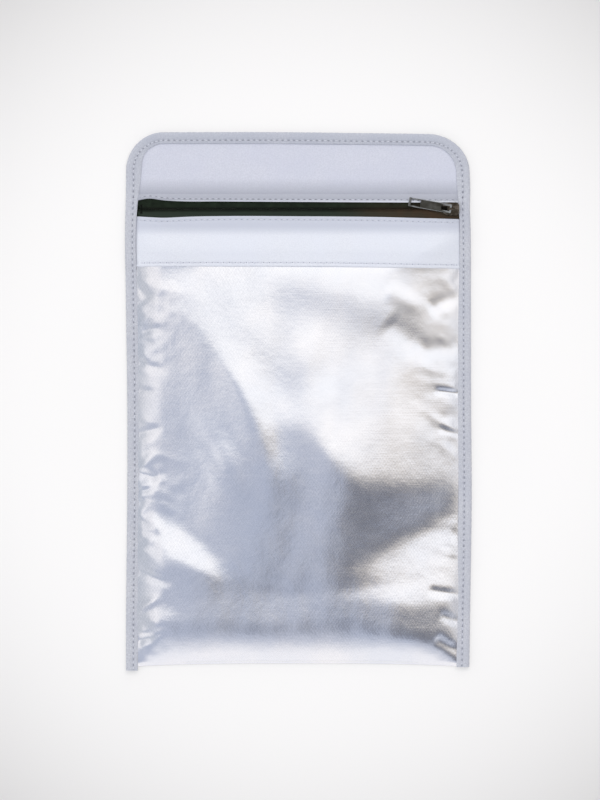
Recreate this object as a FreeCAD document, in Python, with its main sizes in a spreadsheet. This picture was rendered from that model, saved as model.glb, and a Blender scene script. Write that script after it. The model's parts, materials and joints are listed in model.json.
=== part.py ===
import FreeCAD, Part
import os

import Sketcher

# A flat pouch of aluminised glass cloth that a lithium polymer pack is charged and stored in.
# It lies on its back with the zip shut and the flap open. X runs across the bag, +Y towards
# the flap and +Z up out of the front panel. The origin is under the middle of the whole bag.

DIMENSIONS = {
    # the bag as a whole
    "width": 230.0,
    "front_end": -179.3,
    "right_end_step": 2.4,
    "flap_end": 179.3,
    "bottom_fold": -174.4,
    # cloth and tape
    "cloth": 0.4,
    "binding_cloth": 0.6,
    "binding_width": 8.7,
    "binding_under": 7.6,
    "step_fit": 0.2,
    "step_run": 1.0,
    "thread": 0.35,
    "thread_inset": 5.0,
    "thread_break": 0.5,
    # how the front panel stands up over the empty inside
    "seam_edge": 106.0,
    "shoulder_edge": 102.5,
    "crown_edge": 86.0,
    "shoulder_rise": 5.2,
    "crown_rise": 9.7,
    "fold_shoulder": 6.0,
    "fold_crown": 24.0,
    "crown_end": 98.0,
    "zip_seam": 114.0,
    "mouth": 123.3,
    # loop tape on the front panel
    "loop_start": 89.4,
    "loop_layers": 3.0,
    "loop_thread_low": 91.9,
    "loop_thread_high": 120.6,
    "hook_thread_inset": 0.8,
    # zip
    "zip_line": 128.0,
    "zip_tape": 0.6,
    "zip_level": 4.2,
    "zip_fit": 0.1,
    "zip_half_length": 105.0,
    "zip_gap": 1.0,
    "zip_edge": 132.6,
    "coil_width": 2.5,
    "coil_height": 2.1,
    "coil_pitch": 1.6,
    "coil_tooth": 0.95,
    "coil_root": 1.0,
    "coil_margin": 0.5,
    # slider
    "slider_tail": 96.0,
    "slider_nose": 106.0,
    "slider_taper": 3.0,
    "slider_rail": 0.4,
    "slider_half_width": 4.3,
    "slider_plate": 0.8,
    "slider_fit": 0.2,
    "slider_post": 0.7,
    "slider_post_length": 2.4,
    "slider_post_inset": 0.8,
    "lid_thickness": 0.9,
    "lid_nose": 107.2,
    "lid_tail_half": 2.4,
    "lid_nose_round": 2.4,
    "lid_shoulder_round": 2.0,
    "lid_tail_round": 0.9,
    "bridge_half": 3.0,
    "bridge_leg": 1.2,
    "bridge_room": 0.9,
    "bridge_thickness": 0.9,
    "bridge_width": 1.5,
    "bridge_slant": 0.7,
    "bridge_root": 0.1,
    # pull tab
    "pull_pivot": 101.4,
    "pull_height": 6.85,
    "pull_turn": 10.0,
    "pull_droop": 2.4,
    "pull_reach": 28.2,
    "pull_width": 6.0,
    "pull_bar": 1.1,
    "pull_rim": 0.9,
    "pull_far_round": 0.6,
    "pull_near_round": 1.0,
    "pull_eye": 6.3,
    "pull_eye_width": 3.4,
    "pull_slot": 6.4,
    "pull_slot_inset": 1.5,
    "pull_recess": 0.25,
    # flap
    "flap_fold": 135.6,
    "neck_length": 6.0,
    "corner_left": 23.0,
    "corner_right": 30.0,
}

document = FreeCAD.newDocument("LipoSafeBag")
sheet = document.addObject("Spreadsheet::Sheet", "Dims")
for row, (alias, value) in enumerate(DIMENSIONS.items(), start=1):
    sheet.set(f"A{row}", alias)
    sheet.set(f"B{row}", str(value))
    sheet.setAlias(f"B{row}", alias)
document.recompute()

# Places that several pieces share, as expressions over the sheet.
HALF = "Dims.width / 2"
PANEL_EDGE = f"({HALF} - Dims.binding_cloth)"
STEP_IN = "(Dims.binding_under + Dims.step_fit)"
STEP_TOP = f"({HALF} - {STEP_IN})"
STEP_FOOT = f"({STEP_TOP} - Dims.step_run)"
SEAM_TOP = "(Dims.binding_cloth + 4 * Dims.cloth)"
BINDING_TOP = f"({SEAM_TOP} + Dims.binding_cloth)"
FLAP_HINGE = "(Dims.flap_fold + Dims.neck_length)"
ZIP_TOP = "(Dims.zip_level + Dims.zip_tape)"
COIL_FOOT = "(Dims.zip_level - Dims.coil_height)"
UPPER_TAPE_END = "(Dims.zip_edge + 2 * Dims.zip_tape)"

# How far a shape that only cuts or trims another runs past it.
BEYOND = "5"

kept = {}


def size(expression):
    """A number worked out from the sheet."""
    return float(sheet.evalExpression(expression))


def keep(node, item):
    """Names one sub-part and lists it for its file."""
    item.Label = node
    kept[node] = item
    return item


def origin_plane(body, role):
    return next(item for item in body.Origin.OriginFeatures if item.Role == role)


def outline(body, name, role, points, lift="0"):
    """A closed sketch of straight lines, every corner bound to the sheet."""
    sketch = body.newObject("Sketcher::SketchObject", name)
    sketch.AttachmentSupport = [(origin_plane(body, role), "")]
    sketch.MapMode = "FlatFace"
    sketch.setExpression("AttachmentOffset.Base.z", lift)
    places = [(size(across), size(up)) for across, up in points]
    count = len(points)
    for index in range(count):
        start = FreeCAD.Vector(*places[index], 0)
        end = FreeCAD.Vector(*places[(index + 1) % count], 0)
        sketch.addGeometry(Part.LineSegment(start, end), False)
    for index in range(count):
        sketch.addConstraint(Sketcher.Constraint("Coincident", index, 2, (index + 1) % count, 1))
    for index, pair in enumerate(points):
        for kind, expression, value in zip(("DistanceX", "DistanceY"), pair, places[index]):
            number = sketch.addConstraint(Sketcher.Constraint(kind, -1, 1, index, 1, value))
            constraint = f"{kind}_{index}"
            sketch.renameConstraint(number, constraint)
            sketch.setExpression(f"Constraints.{constraint}", expression)
    return sketch


def pad(body, sketch, length, symmetric=False, backwards=False):
    feature = body.newObject("PartDesign::Pad", f"{sketch.Name}_pad")
    feature.Profile = sketch
    feature.Length = size(length)
    feature.setExpression("Length", length)
    feature.Midplane = symmetric
    feature.Reversed = backwards
    document.recompute()
    return feature


def new_body(name):
    return document.addObject("PartDesign::Body", name)


def across_profile(name, points, start, length):
    """A section seen along Y, extruded towards +Y from start."""
    body = new_body(name)
    pad(body, outline(body, f"{name}_section", "XZ_Plane", points), length, backwards=True)
    body.setExpression("Placement.Base.y", start)
    return body


def along_profile(name, points, length):
    """A section seen along X, extruded the same way to both sides of the middle."""
    body = new_body(name)
    pad(body, outline(body, f"{name}_section", "YZ_Plane", points), length, symmetric=True)
    return body


def plan(name, points, foot, height):
    """An outline seen from above, extruded upwards from foot."""
    body = new_body(name)
    pad(body, outline(body, f"{name}_plan", "XY_Plane", points), height)
    body.setExpression("Placement.Base.z", foot)
    return body


def mirrored(points):
    """The same points followed by their mirror images across the middle, in reverse order."""
    return points + [(f"-({across})", up) for across, up in reversed(points)]


def rectangle(left, right, low, high):
    return [(left, low), (right, low), (right, high), (left, high)]


def cut(name, base, tool):
    result = document.addObject("Part::Cut", name)
    result.Base = base
    result.Tool = tool
    return result


def gather(kind, name, items):
    result = document.addObject(kind, name)
    result.Shapes = items
    return result


def rounded(body, name, solid, places, radius, foot=None):
    """Rounds the upright edges at places, only those that start at height foot if it is given."""
    spots = [(size(across), size(up)) for across, up in places]
    names = []
    for number, candidate in enumerate(solid.Shape.Edges, start=1):
        ends = [vertex.Point for vertex in candidate.Vertexes]
        low = min(end.z for end in ends)
        for x, y in spots:
            upright = len(ends) == 2 and all(abs(end.x - x) < 0.01 and abs(end.y - y) < 0.01 for end in ends)
            if upright and (foot is None or abs(low - size(foot)) < 0.01):
                names.append(f"Edge{number}")
    if len(names) != len(places):
        raise RuntimeError(f"{name} found {len(names)} of {len(places)} edges")
    fillet = body.newObject("PartDesign::Fillet", name)
    fillet.Base = (solid, names)
    fillet.setExpression("Radius", radius)
    document.recompute()
    return fillet


# The front panel, its lining and the loop tape all follow one raised shape. Each layer is
# what lies between two copies of it, one a few cloth thicknesses lower than the other.


def raised_shape(name, drop, floor, inset, end, flanged=True):
    """The solid under the front panel, lowered by drop layers and standing on floor layers."""
    fall = f"({drop}) * Dims.cloth"
    core = f"{floor} * Dims.cloth"
    seam = f"Dims.binding_cloth + {floor} * Dims.cloth"
    right = [("Dims.crown_edge", f"Dims.crown_rise - {fall}")]
    right += [("Dims.shoulder_edge", f"Dims.shoulder_rise - {fall}")]
    right += [("Dims.seam_edge", f"{SEAM_TOP} - {fall}")]
    if flanged:
        right += [(PANEL_EDGE, f"{SEAM_TOP} - {fall}"), (PANEL_EDGE, seam)]
        right += [(STEP_TOP, seam), (STEP_FOOT, core)]
    else:
        right += [("Dims.seam_edge", core)]
    span = f"Dims.mouth - Dims.front_end + 2 * {BEYOND}"
    across = across_profile(f"{name}_across", mirrored(right), "Dims.front_end", span)
    fold = f"Dims.bottom_fold + {inset} * Dims.cloth"
    top = [(fold, "0"), (fold, f"{SEAM_TOP} - {fall}")]
    top += [(f"{fold} + Dims.fold_shoulder", f"Dims.shoulder_rise - {fall}")]
    top += [(f"{fold} + Dims.fold_crown", f"Dims.crown_rise - {fall}")]
    top += [("Dims.crown_end", f"Dims.crown_rise - {fall}")]
    top += [("Dims.zip_seam", f"Dims.shoulder_rise - {fall}")]
    if end != "Dims.zip_seam":
        top += [(end, f"Dims.shoulder_rise - {fall}")]
    top += [(end, "0")]
    along = along_profile(f"{name}_along", top, "Dims.width")
    return gather("Part::MultiCommon", name, [across, along])


def stepped_layer(layer):
    """Section of a layer of the back: flat on the ground, stepping up into the bindings."""
    core = f"{layer} * Dims.cloth"
    seam = f"Dims.binding_cloth + {layer} * Dims.cloth"
    right = [(STEP_FOOT, core), (STEP_TOP, seam), (PANEL_EDGE, seam)]
    right += [(PANEL_EDGE, f"{seam} + Dims.cloth"), (STEP_TOP, f"{seam} + Dims.cloth")]
    right += [(STEP_FOOT, f"{core} + Dims.cloth")]
    return mirrored(right)


def back_and_front():
    back_length = "Dims.flap_fold - Dims.bottom_fold"
    back = across_profile("BackPanel", stepped_layer(0), "Dims.bottom_fold", back_length)
    keep("back_panel", back)
    lining_start = "Dims.bottom_fold + Dims.cloth"
    lining_length = "Dims.flap_fold - Dims.bottom_fold - Dims.cloth"
    lining = across_profile("BackLining", stepped_layer(1), lining_start, lining_length)
    keep("back_lining", lining)

    outside = raised_shape("PanelOutside", 0, 1, 0, "Dims.mouth")
    inside = raised_shape("PanelInside", 1, 1, 1, f"Dims.mouth + {BEYOND}")
    keep("front_panel", cut("FrontPanel", outside, inside))
    lining_outside = raised_shape("LiningOutside", 1, 2, 1, "Dims.zip_seam")
    lining_end = f"Dims.zip_seam + {BEYOND}"
    lining_inside = raised_shape("LiningInside", 2, 2, 2, lining_end, flanged=False)
    keep("front_lining", cut("FrontLining", lining_outside, lining_inside))
    return outside


def strip_of(name, solid, low, high):
    """The part of a solid between two places along the bag, inside the side bindings."""
    points = rectangle("-Dims.seam_edge", "Dims.seam_edge", low, high)
    window = plan(f"{name}_window", points, "0", f"2 * Dims.crown_rise + {BEYOND}")
    return gather("Part::MultiCommon", name, [solid, window])


def loop_tape(panel_outside):
    """Soft loop tape across the front panel, with a row of stitches near each long edge."""
    tape_top = raised_shape("LoopTop", "-Dims.loop_layers", 1, 0, "Dims.mouth")
    tape_solid = cut("LoopSolid", tape_top, panel_outside)
    keep("loop_tape", strip_of("LoopTape", tape_solid, "Dims.loop_start", "Dims.mouth"))
    thread_top = raised_shape("ThreadTop", "-Dims.loop_layers - 1", 1, 0, "Dims.mouth")
    thread_solid = cut("ThreadSolid", thread_top, tape_top)
    for node, place in (("loop_thread_low", "low"), ("loop_thread_high", "high")):
        middle = f"Dims.loop_thread_{place}"
        low = f"{middle} - Dims.thread / 2"
        high = f"{middle} + Dims.thread / 2"
        keep(node, strip_of(f"LoopThread_{place}", thread_solid, low, high))


# Binding tape: one channel section folded round the edge of every layer.


def channel(side):
    """Section of the tape folded round one side edge; side is 1 on the right, -1 on the left."""
    sign = "" if side > 0 else "-"
    points = [(f"{HALF} - Dims.binding_under", "0"), (HALF, "0"), (HALF, BINDING_TOP)]
    points += [(f"{HALF} - Dims.binding_width", BINDING_TOP)]
    points += [(f"{HALF} - Dims.binding_width", SEAM_TOP), (PANEL_EDGE, SEAM_TOP)]
    points += [(PANEL_EDGE, "Dims.binding_cloth")]
    points += [(f"{HALF} - Dims.binding_under", "Dims.binding_cloth")]
    return [(f"{sign}({across})", up) for across, up in points]


def side_thread(name, side, start, length):
    """A row of stitches on top of the binding."""
    sign = "" if side > 0 else "-"
    middle = f"{sign}({HALF} - Dims.thread_inset)"
    points = rectangle(f"{middle} - Dims.thread / 2", f"{middle} + Dims.thread / 2",
                       BINDING_TOP, f"{BINDING_TOP} + Dims.thread")
    return across_profile(name, points, start, length)


def side_bindings():
    ends = {"left": (-1, "Dims.front_end"), "right": (1, "(Dims.front_end + Dims.right_end_step)")}
    for word, (side, start) in ends.items():
        length = f"Dims.flap_fold - {start}"
        body = across_profile(f"Binding_{word}", channel(side), start, length)
        keep(f"binding_{word}", body)
        row = side_thread(f"BindingThread_{word}", side, start, f"{length} - Dims.thread_break")
        keep(f"binding_thread_{word}", row)


# Zip: two tapes with a coil sewn under the inner edge of each, shut along the whole length.


def zip_tapes():
    end = "Dims.zip_half_length"
    side = "(Dims.shoulder_edge - Dims.zip_fit)"
    inner_low = "(Dims.zip_line - Dims.zip_gap / 2)"
    points = [(side, "Dims.zip_seam"), (side, "Dims.mouth"), (end, "Dims.mouth"), (end, inner_low)]
    keep("zip_tape_lower", plan("ZipTapeLower", mirrored(points), "Dims.zip_level", "Dims.zip_tape"))

    inner_high = "(Dims.zip_line + Dims.zip_gap / 2)"
    seat = "2 * Dims.cloth"
    slope_end = "(Dims.zip_edge + Dims.zip_tape)"
    points = [(inner_high, "Dims.zip_level"), ("Dims.zip_edge", "Dims.zip_level")]
    points += [(slope_end, seat), ("Dims.flap_fold", seat)]
    points += [("Dims.flap_fold", f"{seat} + Dims.zip_tape")]
    points += [(UPPER_TAPE_END, f"{seat} + Dims.zip_tape")]
    points += [(slope_end, ZIP_TOP), (inner_high, ZIP_TOP)]
    keep("zip_tape_upper", along_profile("ZipTapeUpper", points, f"2 * {end}"))


def zip_coil(node, name, side):
    """A row of coil loops joined by their sewn side; side is 1 above the zip's line."""
    body = new_body(name)
    sign = "+" if side > 0 else "-"
    tip = f"(Dims.zip_line {sign} Dims.zip_gap / 2)"
    root = f"({tip} {sign} (Dims.coil_width - Dims.coil_root))"
    edge = f"({tip} {sign} Dims.coil_width)"
    end = "Dims.zip_half_length"
    strip = outline(body, f"{name}_strip", "XY_Plane", rectangle(f"-{end}", end, root, edge))
    pad(body, strip, "Dims.coil_height")
    first = f"(-{end} + Dims.coil_margin)"
    loop = rectangle(first, f"{first} + Dims.coil_tooth", tip, root)
    tooth = pad(body, outline(body, f"{name}_loop", "XY_Plane", loop), "Dims.coil_height")
    row = body.newObject("PartDesign::LinearPattern", f"{name}_row")
    row.Originals = [tooth]
    row.Direction = (origin_plane(body, "X_Axis"), [""])
    room = "(2 * Dims.zip_half_length - 2 * Dims.coil_margin - Dims.coil_tooth)"
    row.Occurrences = 1 + int(size(f"{room} / Dims.coil_pitch"))
    row.Length = size("Dims.coil_pitch") * (row.Occurrences - 1)
    body.Tip = row
    body.setExpression("Placement.Base.z", COIL_FOOT)
    keep(node, body)


def zip_slider():
    """Cast slider: a plate under the coils, a post between them, a plate and a bridge on top."""
    body = new_body("ZipSlider")
    line = "Dims.zip_line"
    tail = "Dims.slider_tail"
    nose = "Dims.slider_nose"
    wide = "Dims.slider_half_width"
    shoulder = f"({tail} + Dims.slider_taper)"
    channel_half = "(Dims.zip_gap / 2 + Dims.coil_width + Dims.slider_fit)"
    rail_outside = f"({channel_half} + Dims.slider_rail)"
    plate_top = f"({COIL_FOOT} - Dims.slider_fit)"
    plate_foot = f"({plate_top} - Dims.slider_plate)"
    lid_foot = f"({ZIP_TOP} + Dims.slider_fit)"
    lid_top = f"({lid_foot} + Dims.lid_thickness)"

    under = [(tail, f"{line} - {rail_outside}"), (shoulder, f"{line} - {wide}")]
    under += [(nose, f"{line} - {wide}"), (nose, f"{line} + {wide}")]
    under += [(shoulder, f"{line} + {wide}"), (tail, f"{line} + {rail_outside}")]
    pad(body, outline(body, "SliderUnder", "XY_Plane", under, plate_foot), "Dims.slider_plate")
    for word, sign in (("low", "-"), ("high", "+")):
        rail = [(tail, f"{line} {sign} {channel_half}"), (nose, f"{line} {sign} {channel_half}")]
        rail += [(nose, f"{line} {sign} {wide}"), (shoulder, f"{line} {sign} {wide}")]
        rail += [(tail, f"{line} {sign} {rail_outside}")]
        pad(body, outline(body, f"SliderRail_{word}", "XY_Plane", rail, plate_top), "Dims.coil_height")
    post_end = f"({nose} - Dims.slider_post_inset)"
    post = rectangle(f"{post_end} - Dims.slider_post_length", post_end,
                     f"{line} - Dims.slider_post / 2", f"{line} + Dims.slider_post / 2")
    pad(body, outline(body, "SliderPost", "XY_Plane", post, plate_top), f"{lid_foot} - {plate_top}")

    tails = [(tail, f"{line} {sign} Dims.lid_tail_half") for sign in "-+"]
    shoulders = [(shoulder, f"{line} {sign} {wide}") for sign in "-+"]
    noses = [("Dims.lid_nose", f"{line} {sign} {wide}") for sign in "-+"]
    lid = [tails[0], shoulders[0], noses[0], noses[1], shoulders[1], tails[1]]
    solid = pad(body, outline(body, "SliderLid", "XY_Plane", lid, lid_foot), "Dims.lid_thickness")
    for name, corners in (("nose", noses), ("shoulder", shoulders), ("tail", tails)):
        solid = rounded(body, f"SliderLid_{name}", solid, corners, f"Dims.lid_{name}_round", lid_foot)

    pivot = "Dims.pull_pivot"
    root = f"({lid_top} - Dims.bridge_root)"
    ceiling = "(Dims.pull_height + Dims.bridge_room)"
    crest = f"({ceiling} + Dims.bridge_thickness)"
    right = [("Dims.bridge_half - Dims.bridge_leg", ceiling), ("Dims.bridge_half - Dims.bridge_leg", root)]
    right += [("Dims.bridge_half", root), ("Dims.bridge_half", f"{crest} - Dims.bridge_slant")]
    right += [("Dims.bridge_half - Dims.bridge_slant", crest)]
    arch = [(f"{pivot} + ({across})", up) for across, up in mirrored(right)]
    bridge = outline(body, "SliderBridge", "XZ_Plane", arch, f"-{line}")
    body.Tip = pad(body, bridge, "Dims.bridge_width", symmetric=True)
    return keep("zip_slider", body)


def pocket(body, name, solid, points, level="0", depth=None, upwards=False):
    """Cuts an outline out of the pull, through it or to a depth from level."""
    hole = body.newObject("PartDesign::Pocket", f"{name}_pocket")
    hole.Profile = outline(body, name, "XY_Plane", points, level)
    if depth is None:
        hole.Type = "ThroughAll"
        hole.Midplane = True
    else:
        hole.setExpression("Length", depth)
        hole.Reversed = upwards
    document.recompute()
    if not hole.Shape.Volume < solid.Shape.Volume - 1:
        raise RuntimeError(f"{name} cut nothing")
    return hole


def pull_tab():
    """Flat pull: an eye round the slider's bridge, a sunk field and a slot near its free end."""
    body = new_body("PullTab")
    bar = "Dims.pull_bar / 2"
    half = "Dims.pull_width / 2"
    inside = "(Dims.pull_width / 2 - Dims.pull_rim)"
    far = "(-Dims.pull_reach)"
    blank = outline(body, "PullBlank", "XY_Plane", rectangle(far, bar, f"-{half}", half))
    solid = pad(body, blank, "Dims.pull_bar", symmetric=True)
    ends = (("far", far), ("near", bar))
    for name, end in ends:
        corners = [(end, f"-{half}"), (end, half)]
        solid = rounded(body, f"Pull_{name}", solid, corners, f"Dims.pull_{name}_round")

    eye = rectangle("-Dims.pull_eye", f"-{bar}", "-Dims.pull_eye_width / 2", "Dims.pull_eye_width / 2")
    slot_start = f"({far} + Dims.pull_slot_inset)"
    slot_end = f"({slot_start} + Dims.pull_slot)"
    slot = rectangle(slot_start, slot_end, f"-{inside}", inside)
    field = rectangle(f"{slot_end} + Dims.pull_rim", "-Dims.pull_eye - Dims.pull_rim", f"-{inside}", inside)
    solid = pocket(body, "PullEye", solid, eye)
    solid = pocket(body, "PullSlot", solid, slot)
    solid = pocket(body, "PullFieldTop", solid, field, bar, "Dims.pull_recess")
    solid = pocket(body, "PullFieldUnder", solid, field, f"-{bar}", "Dims.pull_recess", upwards=True)
    body.Tip = solid
    turn = FreeCAD.Rotation(FreeCAD.Vector(0, 0, 1), -size("Dims.pull_turn"))
    droop = FreeCAD.Rotation(FreeCAD.Vector(0, 1, 0), -size("Dims.pull_droop"))
    place = FreeCAD.Vector(size("Dims.pull_pivot"), size("Dims.zip_line"), size("Dims.pull_height"))
    body.Placement = FreeCAD.Placement(place, turn.multiply(droop))
    return keep("zip_pull_tab", body)


# Flap: its neck folds at both of its edges, so that the shut flap lies flat over the zip.


def hook_section():
    seam = "Dims.binding_cloth + 2 * Dims.cloth"
    right = [(STEP_FOOT, "2 * Dims.cloth"), (STEP_TOP, seam), (PANEL_EDGE, seam), (PANEL_EDGE, SEAM_TOP)]
    return mirrored(right)


def hook_tape_edge():
    """The sewn lower edge of the hook tape, over the foot of the upper zip tape."""
    end = "Dims.zip_half_length"
    start = UPPER_TAPE_END
    foot = "(2 * Dims.cloth + Dims.zip_tape)"
    points = rectangle(f"-{end}", end, start, "Dims.flap_fold")
    keep("hook_tape_edge", plan("HookTapeEdge", points, foot, f"{SEAM_TOP} - {foot}"))
    middle = f"({start} + Dims.hook_thread_inset)"
    row = rectangle(f"-{end}", end, f"{middle} - Dims.thread / 2", f"{middle} + Dims.thread / 2")
    keep("hook_tape_thread", plan("HookTapeThread", row, SEAM_TOP, "Dims.thread"))


def flap_neck():
    start = "Dims.flap_fold"
    length = "Dims.neck_length"
    keep("neck_cloth", across_profile("NeckCloth", stepped_layer(0), start, length))
    keep("neck_lining", across_profile("NeckLining", stepped_layer(1), start, length))
    keep("neck_hook_tape", across_profile("NeckHookTape", hook_section(), start, length))
    for word, side in (("left", -1), ("right", 1)):
        body = across_profile(f"NeckBinding_{word}", channel(side), start, length)
        keep(f"neck_binding_{word}", body)
    thread_start = f"{start} + Dims.thread_break"
    thread_length = f"{length} - 2 * Dims.thread_break"
    rows = [side_thread(f"NeckThread_{side}", side, thread_start, thread_length) for side in (-1, 1)]
    group = document.addObject("Part::Compound", "NeckThreads")
    group.Links = rows
    keep("neck_binding_threads", group)


def flap_plate(name, inset, foot, height):
    """The flap's outline drawn in by inset, with both of its outer corners rounded."""
    edge = f"({HALF} - {inset})"
    reach = f"(Dims.flap_end - {FLAP_HINGE} - {inset})"
    body = new_body(name)
    solid = pad(body, outline(body, f"{name}_plan", "XY_Plane", rectangle(f"-{edge}", edge, "0", reach)),
                height)
    for sign, side in (("-", "left"), ("", "right")):
        corner = [(f"{sign}{edge}", reach)]
        solid = rounded(body, f"{name}_{side}", solid, corner, f"Dims.corner_{side} - {inset}")
    body.Tip = solid
    body.setExpression("Placement.Base.y", FLAP_HINGE)
    body.setExpression("Placement.Base.z", foot)
    return body


def flap():
    edge = "Dims.binding_cloth"
    for node, layer in (("flap_cloth", 0), ("flap_lining", 1)):
        core = f"{layer} * Dims.cloth"
        seam = f"Dims.binding_cloth + {layer} * Dims.cloth"
        drawn = f"({STEP_IN} + {layer} * Dims.cloth)"
        rim = flap_plate(f"{node}_rim", edge, seam, "Dims.cloth")
        tray = flap_plate(f"{node}_tray", drawn, core, "Dims.binding_cloth + Dims.cloth")
        hollow = flap_plate(f"{node}_hollow", f"({drawn} + Dims.cloth)", f"{core} + Dims.cloth", BEYOND)
        keep(node, cut(f"{node}_piece", gather("Part::MultiFuse", f"{node}_solid", [rim, tray]), hollow))

    seat = f"({STEP_IN} + 2 * Dims.cloth)"
    rim = flap_plate("HookRim", edge, "Dims.binding_cloth + 2 * Dims.cloth", "2 * Dims.cloth")
    core = flap_plate("HookCore", seat, "2 * Dims.cloth", f"{SEAM_TOP} - 2 * Dims.cloth")
    keep("hook_tape", gather("Part::MultiFuse", "HookTape", [rim, core]))

    whole = flap_plate("FlapBindingBlank", "0", "0", BINDING_TOP)
    inside = flap_plate("FlapBindingInside", edge, "Dims.binding_cloth", f"{SEAM_TOP} - Dims.binding_cloth")
    under_depth = f"{BEYOND} + Dims.binding_cloth"
    under = flap_plate("FlapBindingUnder", "Dims.binding_under", f"-{BEYOND}", under_depth)
    window = flap_plate("FlapBindingWindow", "Dims.binding_width", SEAM_TOP, BEYOND)
    openings = gather("Part::MultiFuse", "FlapBindingOpenings", [inside, under, window])
    keep("flap_binding", cut("FlapBinding", whole, openings))

    outer = flap_plate("FlapThreadOuter", "(Dims.thread_inset - Dims.thread / 2)", BINDING_TOP, "Dims.thread")
    below = f"{BINDING_TOP} - {BEYOND}"
    inner = flap_plate("FlapThreadInner", "(Dims.thread_inset + Dims.thread / 2)", below, f"2 * {BEYOND}")
    ends = rectangle(f"-{HALF}", HALF, "Dims.flap_fold", f"{FLAP_HINGE} + Dims.thread_break")
    gap = plan("FlapThreadGap", ends, below, f"2 * {BEYOND}")
    beyond = gather("Part::MultiFuse", "FlapThreadBeyond", [inner, gap])
    keep("flap_binding_thread", cut("FlapThread", outer, beyond))


loop_tape(back_and_front())
side_bindings()
zip_tapes()
zip_coil("zip_coil_upper", "ZipCoilUpper", 1)
zip_coil("zip_coil_lower", "ZipCoilLower", -1)
zip_slider()
pull_tab()
hook_tape_edge()
flap_neck()
flap()
document.recompute()

for item in document.Objects:
    if "Invalid" in item.State or "Error" in item.State:
        raise RuntimeError(f"{item.Label} did not compute: {item.State}")
os.makedirs("parts", exist_ok=True)
for node, item in kept.items():
    shape = item.Shape
    if shape.isNull() or not shape.isValid() or not shape.Solids:
        raise RuntimeError(f"{node} is not a sound solid")
for node, item in kept.items():
    item.Shape.exportStep(f"parts/{node}.step")
    box = item.Shape.BoundBox
    print(f"{node:22s} {item.Shape.Volume:10.1f} mm3  {len(item.Shape.Solids)} solid(s)"
          f"  z {box.ZMin:.2f} to {box.ZMax:.2f}")
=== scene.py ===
import json
import math

import bpy
import numpy as np
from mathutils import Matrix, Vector, noise


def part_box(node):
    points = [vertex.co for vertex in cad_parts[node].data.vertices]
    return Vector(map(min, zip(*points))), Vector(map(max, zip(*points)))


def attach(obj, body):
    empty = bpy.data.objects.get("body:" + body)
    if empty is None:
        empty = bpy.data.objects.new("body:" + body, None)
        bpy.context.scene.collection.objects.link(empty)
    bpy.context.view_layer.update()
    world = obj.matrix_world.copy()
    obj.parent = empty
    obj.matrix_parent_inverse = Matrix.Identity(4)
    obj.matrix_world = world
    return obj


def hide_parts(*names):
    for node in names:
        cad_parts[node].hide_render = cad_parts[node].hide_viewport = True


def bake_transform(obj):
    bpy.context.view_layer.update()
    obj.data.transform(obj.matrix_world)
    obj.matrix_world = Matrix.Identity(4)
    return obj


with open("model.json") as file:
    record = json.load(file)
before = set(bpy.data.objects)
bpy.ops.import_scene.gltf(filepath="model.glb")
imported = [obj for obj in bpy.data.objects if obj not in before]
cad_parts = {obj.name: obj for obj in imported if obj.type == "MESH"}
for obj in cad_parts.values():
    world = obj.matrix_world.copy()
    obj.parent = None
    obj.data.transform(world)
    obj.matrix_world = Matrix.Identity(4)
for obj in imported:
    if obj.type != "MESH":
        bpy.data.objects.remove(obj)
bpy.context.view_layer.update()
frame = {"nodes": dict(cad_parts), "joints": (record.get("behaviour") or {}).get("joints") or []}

# A flat pouch of aluminised glass cloth, lying on its back with its flap open. Lengths are in
# metres; lists of places are in millimetres and go through MM.

joints = {joint["name"]: joint for joint in frame["joints"]}
MM = 0.001


def low(node, axis):
    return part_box(node)[0][axis]


def high(node, axis):
    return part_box(node)[1][axis]


LEFT = low("binding_left", 0)
RIGHT = high("binding_right", 0)
LEFT_END = low("binding_left", 1)
RIGHT_END = LEFT_END + 2.3 * MM  # the right binding is cut a little shorter
BINDING_TOP = high("binding_left", 2)
BOTTOM_FOLD = low("back_panel", 1)
STRIP_LOW = low("loop_tape", 1)
MOUTH = high("loop_tape", 1)
ZIP_LINE = (high("zip_tape_lower", 1) + low("zip_tape_upper", 1)) / 2
ZIP_TOP = high("zip_tape_lower", 2)
NECK_FOLD = joints["neck_fold"]["pos_m"][1]
FLAP_FOLD = joints["flap_fold"]["pos_m"][1]
NECK_MIDDLE = (NECK_FOLD + FLAP_FOLD) / 2
PULL_PIVOT = joints["pull_swing"]["pos_m"][0]
FLAP_TOP = high("flap_binding", 1)
CROWN = high("front_panel", 2)

# Sizes that only the cloth's look needs.
FOIL_THICK = 0.4 * MM
LINING_THICK = 0.3 * MM
FOIL_TOP = 0.42 * MM  # of the foil that lies on the table
LINING_TOP = 0.85 * MM
TUCK_RISE = 0.62 * MM  # of the foil, up into the fold of the bindings
STRIP_ROW_HIGH = 2.4 * MM  # of the loop strip's stitches from its upper edge
STRIP_ROW_LOW = 2.5 * MM
SHARP = math.radians(65)
BINDING_INSET = 5.0 * MM  # of the stitches from the outer edge
STITCH_PITCH = 3.8 * MM
STITCH_STEPS = 8  # points of the binding's path in one stitch
STITCH_LENGTH = 2.7 * MM
STITCH_RADIUS = 0.30 * MM
STRIP_THICK = 1.0 * MM
WEAVE_PITCH = (2.0, 3.2)  # of the foil's glass cloth, two threads each way, in millimetres


# Small tools -----------------------------------


def smooth(value, start, end):
    part = np.clip((np.asarray(value, float) - start) / (end - start), 0, 1)
    return part * part * (3 - 2 * part)


def ease(value, start, end):
    """Like smooth, with start and end in millimetres."""
    return smooth(value, start * MM, end * MM)


def from_side(x):
    """How far in a place is from the nearer long side."""
    return np.minimum(x - LEFT, RIGHT - x)


def across_bag(inset, count):
    """Even places from side to side, drawn in by an inset in millimetres."""
    return np.linspace(LEFT + inset * MM, RIGHT - inset * MM, count)


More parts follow.
